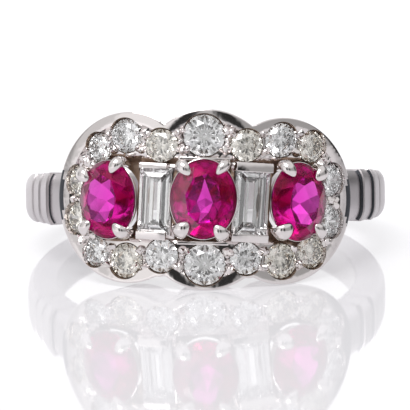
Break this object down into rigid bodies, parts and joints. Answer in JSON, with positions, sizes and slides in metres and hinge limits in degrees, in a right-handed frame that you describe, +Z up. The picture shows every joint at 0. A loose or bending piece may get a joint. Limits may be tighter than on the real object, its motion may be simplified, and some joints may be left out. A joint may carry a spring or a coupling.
{
  "type": "ring",
  "caption": "Cluster ring in polished white metal: oval red stones and baguettes in a row inside a three-lobed border of round diamonds, on a band with stepped shoulders.",
  "frame": {"origin": "centre of the bounding box at its bottom, on the surface that the ring lies on", "axes": "The ring lies on its side as it rests by itself. -Y towards the viewer and the jewelled head, +X to the viewer's right, +Z up; the finger hole's axis leans 10.2 degrees from +Z towards +Y"},
  "size_m": [0.0208, 0.0227, 0.0099],
  "materials": {
    "white_gold": "polished",
    "ruby": "faceted, polished",
    "diamond": "faceted, polished"
  },
  "bodies": {
    "root": {"ring_mount": "white_gold", "ruby_left": "ruby", "ruby_middle": "ruby", "ruby_right": "ruby", "baguette_left": "diamond", "baguette_right": "diamond", "diamond_top_1": "diamond", "diamond_top_2": "diamond", "diamond_top_3": "diamond", "diamond_top_4": "diamond", "diamond_top_5": "diamond", "diamond_top_6": "diamond", "diamond_top_7": "diamond", "diamond_left_1": "diamond", "diamond_left_2": "diamond", "diamond_right_1": "diamond", "diamond_right_2": "diamond", "diamond_bottom_1": "diamond", "diamond_bottom_2": "diamond", "diamond_bottom_3": "diamond", "diamond_bottom_4": "diamond", "diamond_bottom_5": "diamond", "diamond_bottom_6": "diamond", "diamond_bottom_7": "diamond"}
  },
  "joints": []
}
